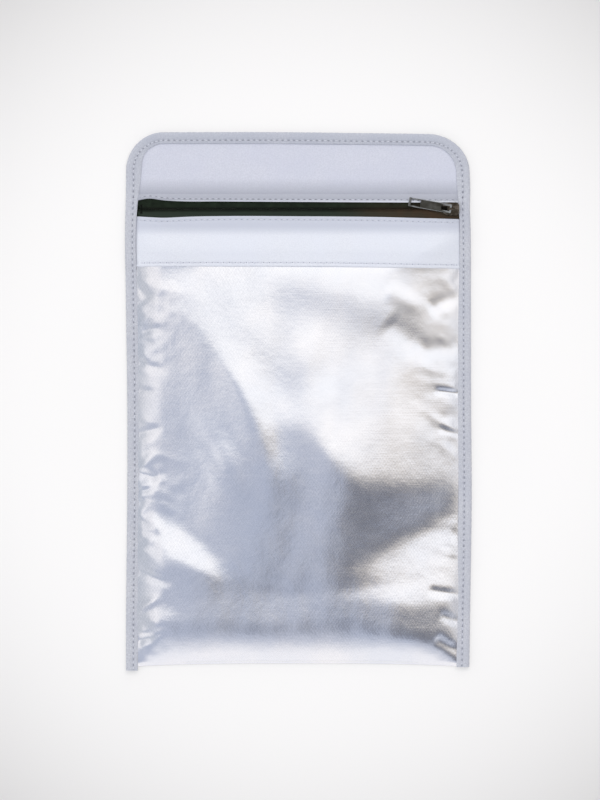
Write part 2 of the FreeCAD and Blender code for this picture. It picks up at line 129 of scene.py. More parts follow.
def through(value, places, unit=MM):
    """A smooth curve through a few given (place, height) pairs; places are in millimetres."""
    where = np.array([place for place, _ in places]) * MM
    what = np.array([height for _, height in places]) * unit
    slopes = np.gradient(what, where)
    value = np.clip(np.asarray(value, float), where[0], where[-1])
    index = np.clip(np.searchsorted(where, value) - 1, 0, len(where) - 2)
    run = where[index + 1] - where[index]
    t = (value - where[index]) / run
    start = what[index] * (1 + 2 * t) * (1 - t) ** 2 + slopes[index] * run * t * (1 - t) ** 2
    return start + what[index + 1] * t * t * (3 - 2 * t) - slopes[index + 1] * run * t * t * (1 - t)


def wobble(x, y, size, seed):
    """Even noise from -1 to 1 over arrays of places, with features about size millimetres across."""
    flat = zip(np.ravel(x) / (size * MM), np.ravel(y) / (size * MM))
    values = [noise.noise(Vector((a, b, seed * 7.31))) for a, b in flat]
    return np.array(values).reshape(np.shape(x))


def new_piece(name, vertices, faces, uvs=None):
    mesh = bpy.data.meshes.new(name)
    mesh.from_pydata(vertices, [], faces)
    mesh.shade_smooth()
    if uvs is not None:
        layer = mesh.uv_layers.new(name="along")
        corners = np.empty(len(mesh.loops), int)
        mesh.loops.foreach_get("vertex_index", corners)
        layer.data.foreach_set("uv", np.asarray(uvs, float)[corners].ravel())
    piece = bpy.data.objects.new(name, mesh)
    bpy.context.scene.collection.objects.link(piece)
    return piece


def grid_faces(rows, columns, closed=False):
    """Quads over rows of points; closed joins each row's last point to its first."""
    faces = []
    span = columns if closed else columns - 1
    for row in range(rows - 1):
        for column in range(span):
            beside = (column + 1) % columns
            faces.append((row * columns + column, row * columns + beside,
                          (row + 1) * columns + beside, (row + 1) * columns + column))
    return faces


def tube_faces(first, rings, sides):
    """Faces of a tube through rings of points, capped at both ends; first is its first point."""
    faces = [tuple(first + corner for corner in face) for face in grid_faces(rings, sides, closed=True)]
    last = first + (rings - 1) * sides
    faces.append(tuple(first + side for side in reversed(range(sides))))
    faces.append(tuple(last + side for side in range(sides)))
    return faces


def cloth(name, x, y, top, thickness, finer=False):
    """A sheet through a grid of points, given a real thickness below its top side."""
    rows, columns = x.shape
    vertices = np.stack([x, y, top], axis=-1).reshape(-1, 3)
    piece = new_piece(name, vertices.tolist(), grid_faces(rows, columns),
                      np.stack([x, y], axis=-1).reshape(-1, 2))
    if finer:
        piece.modifiers.new("finer", "SUBSURF").render_levels = 1
    body = piece.modifiers.new("thickness", "SOLIDIFY")
    body.thickness = thickness
    body.offset = -1
    return piece


def spaced(points, step):
    """A polyline measured out again in equal steps."""
    points = np.asarray(points, float)
    runs = np.linalg.norm(np.diff(points, axis=0), axis=1)
    along = np.concatenate([[0], np.cumsum(runs)])
    count = max(int(round(along[-1] / step)), 2)
    marks = np.linspace(0, along[-1], count + 1)
    return np.stack([np.interp(marks, along, values) for values in points.T], axis=1), marks


# The bag's outline -----------------------------

LEFT_SWAY = [(-180, 0.3), (-132, 0.5), (-66, 1.2), (1, 1.2), (68, 0.3), (118, -0.2), (136, 0.3), (180, 0.4)]
RIGHT_SWAY = [(-180, -0.9), (-132, -0.2), (-66, 0.7), (1, 0.3), (68, 0.2), (118, -0.1), (131, -0.5),
              (141, -0.2), (154, -0.7), (180, -0.6)]
LEFT_CORNER = (25 * MM, 26 * MM)
RIGHT_CORNER = (27.5 * MM, 25.5 * MM)
TOP_DROOP = [(-115, 0.0), (0, 0.0), (40, -0.5), (80, -1.0), (115, -1.6)]


def left_edge(y):
    return LEFT + through(y, LEFT_SWAY)


def right_edge(y):
    return RIGHT + through(y, RIGHT_SWAY)


def top_edge(x):
    return FLAP_TOP + through(x, TOP_DROOP)


def corner_centres(inset=0.0):
    """Where the flap's two rounded corners begin, drawn in by inset, and their radii."""
    left_x = left_edge(FLAP_TOP) + LEFT_CORNER[0]
    right_x = right_edge(FLAP_TOP) - RIGHT_CORNER[0]
    left_radii = (LEFT_CORNER[0] - inset, LEFT_CORNER[1] - inset)
    right_radii = (RIGHT_CORNER[0] - inset, RIGHT_CORNER[1] - inset)
    return left_x, left_radii, right_x, right_radii


def flap_top(x, inset=0.0):
    """The flap's upper outline over x, drawn in by inset."""
    x = np.asarray(x, float)
    left_x, (left_a, left_b), right_x, (right_a, right_b) = corner_centres(inset)
    left_part = np.clip((left_x - x) / left_a, 0, 1)
    right_part = np.clip((x - right_x) / right_a, 0, 1)
    drop = left_b * (1 - np.sqrt(1 - left_part**2)) + right_b * (1 - np.sqrt(1 - right_part**2))
    return top_edge(x) - inset - drop


def whole_outline():
    """The bound edge in one run: up the left side, round the flap and down the right side."""
    left_x, (left_a, left_b), right_x, (right_a, right_b) = corner_centres()
    left_y = float(top_edge(left_x)) - left_b
    right_y = float(top_edge(right_x)) - right_b
    points = [(float(left_edge(y)), y) for y in np.linspace(LEFT_END, left_y, 90)]
    for turn in np.linspace(0, math.pi / 2, 24)[1:]:
        x = left_x - left_a * math.cos(turn)
        points.append((x, left_y + left_b * math.sin(turn)))
    points += [(x, float(top_edge(x))) for x in np.linspace(left_x, right_x, 30)[1:-1]]
    for turn in np.linspace(math.pi / 2, 0, 24):
        x = right_x + right_a * math.cos(turn)
        points.append((x, right_y + right_b * math.sin(turn) + float(top_edge(x) - top_edge(right_x))))
    low_end = points[-1][1]
    points += [(float(right_edge(y)), y) for y in np.linspace(low_end, RIGHT_END, 90)[1:]]
    return points


# The front panel's shape -----------------------
# The puffed cloth lies in flat facets between soft fold lines that run from side to side.
# Places are in millimetres. Going up across a line, the slope falls by its bend; x sets both.

FOLD_LINES = [
    # the long crest: from the upper left down to the middle, then level to the right
    {"line": [(-112, 86), (-88, 72), (-62, 42), (-38, 6), (-22, -17), (-8, -14), (6, -20), (20, -36),
              (36, -50), (60, -54), (80, -56), (112, -54)],
     "bend": [(-112, 0.06), (-60, 0.10), (-38, 0.115), (-19, 0.12), (0, 0.125), (18, 0.14), (36, 0.158),
              (60, 0.17), (112, 0.175)], "soft": 4.2},
    # the hollow and the second crest on the right
    {"line": [(-112, -118), (-20, -112), (16, -122), (34, -112), (60, -98), (85, -84), (112, -68)],
     "bend": [(-112, 0), (-20, 0), (0, -0.02), (30, -0.11), (60, -0.22), (112, -0.26)], "soft": 4.5},
    {"line": [(-112, -134), (20, -129), (50, -133), (80, -136), (112, -129)],
     "bend": [(-112, 0), (0, 0), (30, 0.09), (60, 0.14), (112, 0.15)], "soft": 2.4},
    # the hollow and the crest on the left
    {"line": [(-112, -72), (-80, -84), (-48, -106), (112, -106)],
     "bend": [(-112, -0.15), (-60, -0.14), (-40, 0), (112, 0)], "soft": 3.0},
    {"line": [(-112, -94), (-80, -106), (-46, -119), (112, -119)],
     "bend": [(-112, 0.17), (-60, 0.16), (-40, 0), (112, 0)], "soft": 1.8},
]
SWELLS = [
    # x, y, reach across, reach along, turn in degrees, height
    (-10, 6, 12, 34, -4, -1.4),
    (2, 28, 12, 20, -10, 0.9),
    (-66, -34, 9, 24, 30, -0.8),
    (-42, 16, 8, 18, 30, 0.7),
    (-31, -16, 9, 26, 20, 0.8),
    (27, -6, 7, 30, -6, -0.45),
    (-13, -54, 15, 20, 0, 0.8),
    (12, 82, 34, 25, 0, 1.9),
    (74, 92, 40, 26, 0, 1.0),
    (-30, 52, 10, 44, 35, 0.35),
    (52, 62, 30, 16, -30, 0.9),
    (-50, -42, 12, 22, 24, 1.4),
    (-96, -148, 14, 11, -20, 1.6),
    (60, 4, 8, 30, -8, 0.3),
]
CREASES = [
    # start x, y, end x, y, width, depth
    (-108, 44, -92, 49, 2.6, 0.5),
    (-108, 27, -88, 20, 3.4, 0.7),
    (-108, 8, -96, 6, 2.2, 0.5),
    (-108, -22, -90, -17, 2.8, 0.6),
    (-108, -46, -92, -52, 3.2, 1.0),
    (-108, -60, -96, -58, 2.2, 0.6),
    (-108, -112, -84, -122, 3.4, 0.8),
    (-108, -140, -92, -130, 3.0, -0.7),
    (-108, -160, -88, -152, 3.0, 0.9),
    (60, 52, 84, 33, 8.0, 0.55),
    (82, 33, 110, 37, 6.5, 0.55),
    (92, 7, 108, 5, 1.8, 0.7),
    (88, 62, 108, 72, 5.0, 0.5),
    (60, 74, 84, 60, 6.0, -0.4),
    (94, -18, 108, -22, 2.4, 0.4),
    (88, -126, 108, -129, 2.6, 0.7),
    (95, -142, 108, -147, 3.0, 0.5),
    (92, -158, 108, -167, 3.4, 0.6),
]


def swell(x, y, place):
    across, along, reach_x, reach_y, turn, height = place
    angle = math.radians(turn)
    dx = x - across * MM
    dy = y - along * MM
    u = (dx * math.cos(angle) + dy * math.sin(angle)) / (reach_x * MM)
    v = (dy * math.cos(angle) - dx * math.sin(angle)) / (reach_y * MM)
    return height * MM * np.exp(-(u * u + v * v))


def crease(x, y, place):
    x0, y0, x1, y1, width, depth = (value * MM for value in place)
    run = np.array([x1 - x0, y1 - y0])
    length = np.linalg.norm(run)
    run = run / length
    along = ((x - x0) * run[0] + (y - y0) * run[1]) / length
    off = (x - x0) * -run[1] + (y - y0) * run[0]
    fade = smooth(along, -0.12, 0.12) * (1 - smooth(along, 0.6, 1.15))
    return -depth * fade * np.exp(-((off / width) ** 2))


def bend(x, y, fold):
    """Height that one fold line adds: none below it, and a changed slope above it."""
    off = y - through(x, fold["line"])
    soft = fold["soft"] * MM
    return -through(x, fold["bend"], 1.0) * soft * np.logaddexp(0, off / soft)


def facets(x, y):
    """Height of the facets, tilted to start and end level: at the strip and above the bottom fold."""
    low_y = -150 * MM
    high_y = 92 * MM
    soft = 7 * MM
    top = sum(bend(x, high_y, fold) for fold in FOLD_LINES)
    rise = soft * np.logaddexp(0, (y - low_y) / soft) / (high_y - low_y)
    return sum(bend(x, y, fold) for fold in FOLD_LINES) - top * rise


def front_height(x, y, folds=1.0):
    """Top of the front panel: puffed cloth held down at the bindings, the fold and the zip."""
    edge = from_side(x) - 7.0 * MM
    seam = ease(y, 84, 110)
    left_side = ease(x, 60, -60)
    steep = np.clip(edge / ((12 + 7 * left_side) * MM), 0, 1)
    steep_share = 0.14 + 0.36 * left_side
    gentle = np.clip(edge / ((48 - 36 * seam) * MM), 0, 1)
    rise = steep_share * (1 - (1 - steep) ** 2) + (1 - steep_share) * (1 - (1 - gentle) ** 1.7)
    fold_reach = (33 - 8 * ease(x, 20, 104) - 4 * ease(x, -60, -106)) * MM
    rise *= 1 - (1 - np.clip((y - BOTTOM_FOLD) / fold_reach, 0, 1)) ** 2.6
    low_side = 2.0 * MM
    crown = CROWN - (CROWN - 5.2 * MM) * ease(y, 98, 114)
    height = low_side + (crown - low_side) * rise
    if folds:
        high_strip = 89 * MM
        above = 1 - ease(y, 84, 108)
        held_reach = (26 - 12 * ease(x, 0, 90)) * MM
        free = smooth(edge, -4 * MM, held_reach) * above * smooth(y, BOTTOM_FOLD, -142 * MM)
        shape = facets(x, y) + sum(swell(x, y, place) for place in SWELLS)
        shape += wobble(x, y, 34, 3) * 0.30 * MM + wobble(x * 1.5, y * 0.7, 17, 5) * 0.14 * MM
        shape += wobble(x, y * 0.2, 9, 13) * 0.12 * MM * np.exp((y - high_strip) / (14 * MM))
        shape *= free
        shape += sum(crease(x, y, place) for place in CREASES) * ease(edge, -1, 3) * above
        height = height + folds * shape
    return np.maximum(height, 1.3 * MM)


def bottom_fold(x):
    return BOTTOM_FOLD - 2.4 * MM * np.abs(np.asarray(x) / RIGHT) ** 3


# Which points of a grid of cloth are linked: so many rows on, so many columns on, how stiffly.
LINKS = ((0, 1, 0.9), (1, 0, 0.9), (1, 1, 0.35), (1, -1, 0.35), (0, 2, 0.25), (2, 0, 0.25))


def settle(points, growth, held, keep, rounds):
    """Lets a grid of cloth buckle: its threads want to be longer than the room they have.

    points is rows x columns x 3; growth gives the wanted stretch along the columns and along
    the rows; held is 1 where the cloth is sewn down; keep draws it back to its first shape.
    """
    first = points.copy()
    points = points.copy()
    loose = 1.0 - held
    height, width = held.shape
    links = []
    for down, across, stiff in LINKS:
        starts = np.arange(max(0, -across), width - max(0, across))
        rows, columns = np.meshgrid(np.arange(height - down), starts, indexing="ij")
        step = rows // max(down, 1) if down else columns // max(across, 1)
        longer = (growth[0] + growth[1]) / 2 if down and across else growth[1] if down else growth[0]
        for turn in (0, 1):
            chosen = step % 2 == turn
            a = (rows[chosen], columns[chosen])
            b = (a[0] + down, a[1] + across)
            length = np.linalg.norm(first[a] - first[b], axis=1) * longer[a]
            share = loose[a] + loose[b] + 1e-9
            bending = down + across == 2 and down != across
            links.append((a, b, length, stiff * loose[a] / share, stiff * loose[b] / share, bending))
    for _ in range(rounds):
        for a, b, length, pull_a, pull_b, bending in links:
            gap = points[b] - points[a]
            size = np.linalg.norm(gap, axis=1)
            off = (size - length) / size
            if bending:
                off = np.minimum(off, 0)  # a bend only pushes apart
            gap *= off[:, None]
            points[a] += gap * pull_a[:, None]
            points[b] -= gap * pull_b[:, None]
        points += (first - points) * (keep * loose)[..., None]
    return points


# Materials -------------------------------------


class Nodes:
    """Short ways to add nodes to a tree."""

    def __init__(self, tree):
        self.tree = tree

    def add(self, kind, inputs=None, output=0, **settings):
        node = self.tree.nodes.new(kind)
        for setting, value in settings.items():
            setattr(node, setting, value)
        for socket, value in (inputs or {}).items():
            if isinstance(value, bpy.types.NodeSocket):
                self.tree.links.new(value, node.inputs[socket])
            else:
                node.inputs[socket].default_value = value
        return node.outputs[output]

    def maths(self, operation, a, b=0.0, c=0.0):
        return self.add("ShaderNodeMath", {0: a, 1: b, 2: c}, operation=operation)

    def plus(self, a, b):
        return self.maths("ADD", a, b)

    def minus(self, a, b):
        return self.maths("SUBTRACT", a, b)

    def times(self, a, b, plus=0.0):
        return self.maths("MULTIPLY_ADD", a, b, plus)

    def size(self, a):
        return self.maths("ABSOLUTE", a)

    def length(self, a, b):
        return self.maths("SQRT", self.plus(self.times(a, a), self.times(b, b)))

    def axes(self, vector):
        split = self.tree.nodes.new("ShaderNodeSeparateXYZ")
        self.tree.links.new(vector, split.inputs[0])
        return split.outputs

    def ramp(self, factor, start, end, low_value=0.0, high_value=1.0, **settings):
        inputs = {"Value": factor, "From Min": start, "From Max": end}
        inputs.update({"To Min": low_value, "To Max": high_value})
        return self.add("ShaderNodeMapRange", inputs, **settings)

    def blend(self, factor, first, second):
        return self.add("ShaderNodeMix", {0: factor, 6: first, 7: second}, output=2, data_type="RGBA")


class Look(Nodes):
    """A material of the part."""

    def __init__(self, name, roughness, metallic=0.0):
        self.material = bpy.data.materials.new(name)
        self.material.use_nodes = True
        super().__init__(self.material.node_tree)
        self.shader = self.tree.nodes["Principled BSDF"]
        self.set("Roughness", roughness)
        self.set("Metallic", metallic)

    def set(self, socket, value):
        if isinstance(value, bpy.types.NodeSocket):
            self.tree.links.new(value, self.shader.inputs[socket])
        else:
            self.shader.inputs[socket].default_value = value

    def done(self, colour, normal):
        self.set("Base Color", colour)
        self.set("Normal", normal)
        return self.material

    def place(self, kind="Object", scale=(1, 1, 1)):
        coordinates = self.add("ShaderNodeTexCoord", output=kind)
        return self.add("ShaderNodeMapping", {"Vector": coordinates, "Scale": scale})

    def where(self):
        """The place on the part, as a vector and as its x and y."""
        here = self.place()
        x, y, _ = self.axes(here)
        return here, x, y

    def noise(self, vector, scale, detail=3.0, roughness=0.55):
        inputs = {"Vector": vector, "Scale": scale, "Detail": detail, "Roughness": roughness}
        return self.add("ShaderNodeTexNoise", inputs)

    def bump(self, height, distance, strength=1.0, under=None):
        """A bump of so many millimetres, over another one if that is given."""
        inputs = {"Height": height, "Distance": distance * MM, "Strength": strength}
        if under is not None:
            inputs["Normal"] = under
        return self.add("ShaderNodeBump", inputs)

    def threads(self, axis, pitch):
        """Rounded threads lying side by side along one axis, from 0 to 1; pitch in millimetres."""
        turn = self.times(axis, 2 * math.pi / (pitch * MM))
        return self.times(self.maths("SINE", turn), 0.5, 0.5)


def rgb(red, green, blue):
    """A colour as it looks, turned to the linear values that a shader takes."""
    parts = [value / 255 for value in (red, green, blue)]
    return tuple(v / 12.92 if v <= 0.04045 else ((v + 0.055) / 1.055) ** 2.4 for v in parts) + (1.0,)


def foil_cloth():
    """Aluminium film on woven glass: bright, faintly blue, finely crinkled over the weave."""
    look = Look("foil_cloth", 0.2, 1.0)
    here, x, y = look.where()
    cloudy = look.noise(here, 22, 4)
    tint = look.blend(look.ramp(cloudy, 0.35, 0.65), rgb(237, 239, 245), rgb(247, 246, 248))
    warp, weft = (look.minus(look.threads(axis, pitch), 0.5) for axis, pitch in zip((x, y), WEAVE_PITCH))
    weave = look.times(look.times(warp, weft), 2.0, 0.5)
    fine = look.ramp(look.noise(here, 620, 2), 0.36, 0.64)
    grain = look.times(weave, 0.5, look.times(fine, 0.5))
    taut = look.times(look.ramp(x, -30 * MM, 20 * MM), look.ramp(y, -60 * MM, -20 * MM))
    wear_and_edge_highlight = look.ramp(look.noise(here, 14), 0.38, 0.62, 0.22, 0.46)
    wear_and_edge_highlight = look.times(wear_and_edge_highlight, look.times(taut, -0.8, 1.0))
    wear_and_edge_highlight = look.times(wear_and_edge_highlight, look.ramp(y, -168 * MM, -150 * MM, 0.3, 1.0))
    tint = look.blend(look.times(grain, wear_and_edge_highlight), tint, rgb(200, 204, 213))
    look.set("Roughness", look.ramp(look.noise(here, 60), 0.3, 0.7, 0.17, 0.24))
    along = look.noise(look.place(scale=(36, 900, 36)), 1)
    across = look.noise(look.place(scale=(900, 30, 36)), 1)
    streaky = look.ramp(look.noise(here, 17), 0.42, 0.62, 0.02, 0.07)
    lines = look.bump(look.plus(along, across), 0.35, streaky)
    crinkle = look.noise(here, 170, 5, 0.6)
    crinkled = look.bump(crinkle, 1.1, look.times(taut, -0.06, 0.12), lines)
    lower = look.times(look.ramp(x, 0.0, 60 * MM), look.ramp(y, -20 * MM, -80 * MM, 0.0, 0.07))
    patches = look.plus(look.ramp(look.noise(here, 14), 0.38, 0.62, 0.02, 0.07), lower)
    return look.done(tint, look.bump(weave, 0.10, patches, crinkled))


def glass_lining():
    look = Look("glass_lining", 0.7)
    here, x, y = look.where()
    weave = look.times(look.threads(x, 1.2), look.threads(y, 1.2))
    colour = look.blend(look.noise(here, 300), rgb(196, 192, 180), rgb(224, 221, 211))
    return look.done(colour, look.bump(weave, 0.15, 0.6))


def binding_tape():
    """Grey woven tape: ribs across its width, a little paler where it is scuffed, and painted shade makes
    it darker and bluer towards the flap's end.
    """
    look = Look("binding_tape", 0.62)
    u, v, _ = look.axes(look.place("UV"))
    here, _, y = look.where()
    ribs = look.threads(u, 0.75)
    ends = look.threads(v, 0.9)
    speckle = look.noise(here, 1000)
    colour = look.blend(look.ramp(speckle, 0.32, 0.68), rgb(186, 188, 196), rgb(212, 214, 220))
    cloudy = look.noise(here, 45)
    colour = look.blend(look.ramp(cloudy, 0.35, 0.7, 0.0, 0.45), colour, rgb(184, 188, 200))
    # Painted shade: darker and bluer towards the flap's end.
    painted_shade_flap_end = look.ramp(y, FLAP_FOLD, FLAP_TOP - 4 * MM, 0.0, 0.45)
    colour = look.blend(painted_shade_flap_end, colour, rgb(176, 181, 195))
    look.set("Sheen Weight", 0.1)
    woven = look.times(ends, 0.35, ribs)
    return look.done(colour, look.bump(woven, 0.10, 0.5, look.bump(speckle, 0.15, 0.3)))


def hook_tape():
    """Pale hook tape: rows of tiny hooks, so matt and faintly grained; painted shade darkens it towards the
    zip, with a paler line along its lower edge.
    """
    look = Look("hook_tape", 0.75)
    here, x, y = look.where()
    hooks = look.times(look.threads(x, 1.5), look.threads(y, 1.1))
    grain = look.noise(here, 1100, 4, 0.6)
    cloudy = look.noise(here, 30)
    colour = look.blend(look.ramp(grain, 0.3, 0.7), rgb(206, 208, 219), rgb(221, 223, 233))
    colour = look.blend(look.ramp(cloudy, 0.35, 0.7, 0.0, 0.5), colour, rgb(206, 209, 224))
    # Painted shade: darker towards its lower edge by the zip.
    painted_shade_by_zip = look.ramp(y, NECK_FOLD - 2 * MM, NECK_FOLD + 13 * MM, 1.0, 0.0)
    colour = look.blend(painted_shade_by_zip, colour, rgb(166, 169, 179))
    lip = look.ramp(y, NECK_FOLD - 1.6 * MM, NECK_FOLD - 2.3 * MM, 0.0, 0.8)
    colour = look.blend(lip, colour, rgb(224, 227, 236))
    look.set("Sheen Weight", 0.1)
    streaks = look.noise(look.place(scale=(520, 60, 520)), 1)
    rough = look.bump(grain, 0.25, 0.35, look.bump(streaks, 0.2, 0.2))
    return look.done(colour, look.bump(hooks, 0.10, 0.5, rough))


def loop_tape():
    """Soft white loop tape with a short pile; painted shade makes it greyer over the band where the zip's
    tape lies under it.
    """
    look = Look("loop_tape", 0.85)
    here, _, y = look.where()
    pile = look.noise(here, 1500, 5, 0.65)
    cloudy = look.noise(here, 26)
    colour = look.blend(look.ramp(pile, 0.3, 0.7), rgb(219, 222, 230), rgb(236, 239, 245))
    colour = look.blend(look.ramp(cloudy, 0.35, 0.7, 0.0, 0.4), colour, rgb(228, 232, 243))
    # Painted shade: greyer over the band where the zip's tape lies under the strip.
    painted_shade_over_tape = look.ramp(y, MOUTH - 13 * MM, MOUTH - 7 * MM)
    colour = look.blend(look.times(painted_shade_over_tape, 0.9), colour, rgb(203, 207, 219))
    look.set("Sheen Weight", 0.2)
    return look.done(colour, look.bump(pile, 0.4, 0.35))


def sewing_thread(name="sewing_thread", hole=rgb(159, 162, 173)):
    """Twisted thread, with painted shade at both ends of a stitch where it goes down its needle hole, and
    more painted shade over a band by the zip.
    """
    look = Look(name, 0.5)
    u, v, _ = look.axes(look.place("UV"))
    twist = look.threads(look.plus(u, v), 0.5)
    colour = look.blend(twist, rgb(196, 199, 209), rgb(232, 234, 242))
    _, _, y = look.where()
    # Painted shade: darker thread over a band by the zip, with darker hole shade there.
    painted_thread_shade_by_zip = look.times(look.ramp(y, NECK_FOLD - 4 * MM, NECK_FOLD - 3 * MM),
                          look.ramp(y, NECK_FOLD + 5 * MM, NECK_FOLD))
    colour = look.blend(look.times(painted_thread_shade_by_zip, 0.35), colour, rgb(176, 179, 189))
    # Painted shade at both ends of a stitch, where it goes down its hole.
    down = look.ramp(look.size(u), 0.30 * STITCH_LENGTH, 0.42 * STITCH_LENGTH)
    hole = look.blend(painted_thread_shade_by_zip, hole, rgb(122, 123, 136))
    return look.done(look.blend(down, colour, hole), look.bump(twist, 0.1, 0.6))


def pale_thread():
    """The thread of the loop strip's rows, with paler painted shade at its holes, which close up in the
    soft pile.
    """
    return sewing_thread("pale_thread", rgb(172, 176, 189))


def zip_tape():
    """Near-black woven tape with fine lengthwise cords and a raised seam over each coil."""
    look = Look("zip_tape", 0.6)
    here, x, y = look.where()
    cords = look.threads(y, 0.7)
    picks = look.threads(look.plus(x, look.times(y, 0.6)), 0.8)
    dust = look.noise(here, 240, 4)
    colour = look.blend(look.ramp(dust, 0.35, 0.75), rgb(15, 25, 13), rgb(31, 43, 29))
    below = look.ramp(look.minus(y, ZIP_LINE), -1.4 * MM, -2.6 * MM, 0.0, 0.8)
    colour = look.blend(below, colour, rgb(48, 58, 49))
    middle = look.ramp(look.size(look.minus(y, ZIP_LINE)), 1.9 * MM, 0.7 * MM)
    colour = look.blend(middle, colour, rgb(12, 19, 10))
    browner = look.times(look.ramp(x, 20 * MM, 90 * MM), look.noise(here, 60, 2))
    browner = look.times(browner, look.ramp(y, ZIP_LINE + 1 * MM, ZIP_LINE - 2 * MM, 0.4, 1.2))
    colour = look.blend(browner, colour, rgb(78, 54, 36))
    look.set("Specular IOR Level", 0.15)
    return look.done(colour, look.bump(look.times(picks, 0.6, cords), 0.12, 0.7))


def zip_coil():
    look = Look("zip_coil", 0.7)
    look.set("Specular IOR Level", 0.05)
    here = look.place()
    colour = look.blend(look.noise(here, 400), rgb(10, 12, 10), rgb(22, 24, 20))
    return look.done(colour, look.bump(look.noise(here, 900), 0.05, 0.4))


def slider_metal():
    """Gunmetal plating on the cast slider: dark, faintly brown and scuffed in patches, with painted shadow
    under the pull's eye.
    """
    look = Look("slider_metal", 0.22, 1.0)
    here, x, y = look.where()
    patch = look.noise(here, 420)
    colour = look.blend(look.ramp(patch, 0.4, 0.75), rgb(62, 56, 48), rgb(122, 112, 102))
    aside = look.size(look.minus(y, ZIP_LINE))
    # Painted shadow: darker where the slider lies under the pull's eye, short of its pivot.
    painted_shadow_under_pull = look.times(look.ramp(x, PULL_PIVOT - 1.2 * MM, PULL_PIVOT - 2.6 * MM),
                       look.ramp(aside, 2.6 * MM, 1.6 * MM))
    colour = look.blend(painted_shadow_under_pull, colour, rgb(24, 22, 19))
    look.set("Roughness", look.ramp(patch, 0.3, 0.7, 0.16, 0.30))
    return look.done(colour, look.bump(patch, 0.06, 0.3))


def zip_metal():
    """Gunmetal plating on the pull: dark, with painted highlights on its sharp edges."""
    look = Look("zip_metal", 0.2, 1.0)
    here, x, _ = look.where()
    wear_and_edge_highlight = look.add("ShaderNodeNewGeometry", output="Pointiness")
    patch = look.noise(here, 260)
    # Painted highlight: the pull's sharp edges, found by their pointiness, are painted bright, fainter near
    # the pivot and at the far end.
    reach = look.minus(PULL_PIVOT, x)
    painted_highlight_reach = look.times(look.ramp(reach, 1.5 * MM, 4 * MM, 0.45, 1.0),
                        look.ramp(reach, 24.5 * MM, 26 * MM, 1.0, 0.25))
    edge = look.times(look.ramp(wear_and_edge_highlight, 0.52, 0.60), painted_highlight_reach)
    dark = look.blend(look.ramp(patch, 0.35, 0.7), rgb(58, 56, 50), rgb(88, 87, 82))
    look.set("Roughness", look.ramp(patch, 0.3, 0.7, 0.16, 0.28))
    return look.done(look.blend(edge, dark, rgb(206, 209, 210)), look.bump(patch, 0.05, 0.15))


LOOKS = {make.__name__: make() for make in (
    foil_cloth, glass_lining, binding_tape, hook_tape, loop_tape, sewing_thread, pale_thread, zip_tape,
    zip_coil, slider_metal, zip_metal)}


def dress(piece, look, moves, *replaced):
    """Gives a piece its material, hides the CAD nodes it stands for and hands it to moves, which attaches
    it to the bag or bakes its place into its mesh.
    """
    piece.data.materials.append(LOOKS[look])
    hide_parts(*replaced)
    moves(piece)


def on_bag(piece):
    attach(piece, "bag")


def over_neck(piece):
    """For what crosses from the bag to the middle of the neck: it only bakes the piece's place into its
    mesh.
    """
    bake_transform(piece)


def over_flap(piece):
    """For what crosses from the middle of the neck to the flap: it only bakes the piece's place into its
    mesh.
    """
    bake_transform(piece)


# Bindings and stitches -------------------------


def inward(points):
    """Unit normals to the right of the way a path runs, which is into the bag."""
    run = np.gradient(points, axis=0)
    run /= np.linalg.norm(run, axis=1)[:, None]
    return np.stack([run[:, 1], -run[:, 0]], axis=1)


def lift_over_seam(y):
    """How much higher a side binding lies where the strip and the zip run under it."""
    return 1.1 * MM * ease(y - STRIP_LOW, -3, 3) * (1 - smooth(y, NECK_FOLD - 4 * MM, NECK_MIDDLE))


BINDING_SECTION = [
    # across from the outer edge, height, how much the stitches pull it down; all in millimetres
    (7.6, 0.05, 0), (4.5, 0.02, 0), (1.5, 0.02, 0), (0.55, 0.3, 0), (0.1, 0.85, 0), (0.0, 1.4, 0),
    (0.1, 1.95, 0), (0.5, 2.45, 0), (1.2, 2.78, 0), (2.2, 2.95, 0.02), (3.3, 2.96, 0.05), (4.2, 2.86, 0.2),
    (4.7, 2.76, 0.5), (5.0, 2.72, 0.7), (5.3, 2.76, 0.5), (5.8, 2.84, 0.2), (6.6, 2.86, 0.05),
    (7.5, 2.8, 0), (8.1, 2.74, 0), (8.5, 2.62, 0), (8.7, 2.4, 0), (8.6, 2.2, 0), (5.0, 2.1, 0.3),
    (1.3, 2.1, 0), (0.8, 1.4, 0), (1.3, 0.7, 0), (5.0, 0.6, 0), (7.6, 0.55, 0),
]
SECTION_WIDTH = 8.7 * MM
SECTION_INSET = 5.0 * MM


def binding_inset(path):
    """How far the stitches are from the outer edge: a little more along the flap's top."""
    return BINDING_INSET + 0.6 * MM * ease(path[:, 1] - FLAP_TOP, -12, -3)


LEFT_WIDTHS = [(-180, 8.0), (-60, 8.3), (60, 8.0), (128, 7.9), (141, 8.9), (152, 10.2), (160, 10.0),
               (170, 8.6), (180, 7.7)]
RIGHT_WIDTHS = [(-180, 8.6), (-60, 8.9), (60, 8.4), (92, 7.9), (128, 7.7), (141, 8.7), (152, 9.1),
                (160, 9.0), (170, 8.3), (180, 7.7)]


def binding_width(path):
    """The binding's visible width, which differs from place to place as it was sewn by hand."""
    x, y = path.T
    width = np.where(x < 0, through(y, LEFT_WIDTHS), through(y, RIGHT_WIDTHS))
    return width + wobble(y, x, 40, 31) * 0.2 * MM


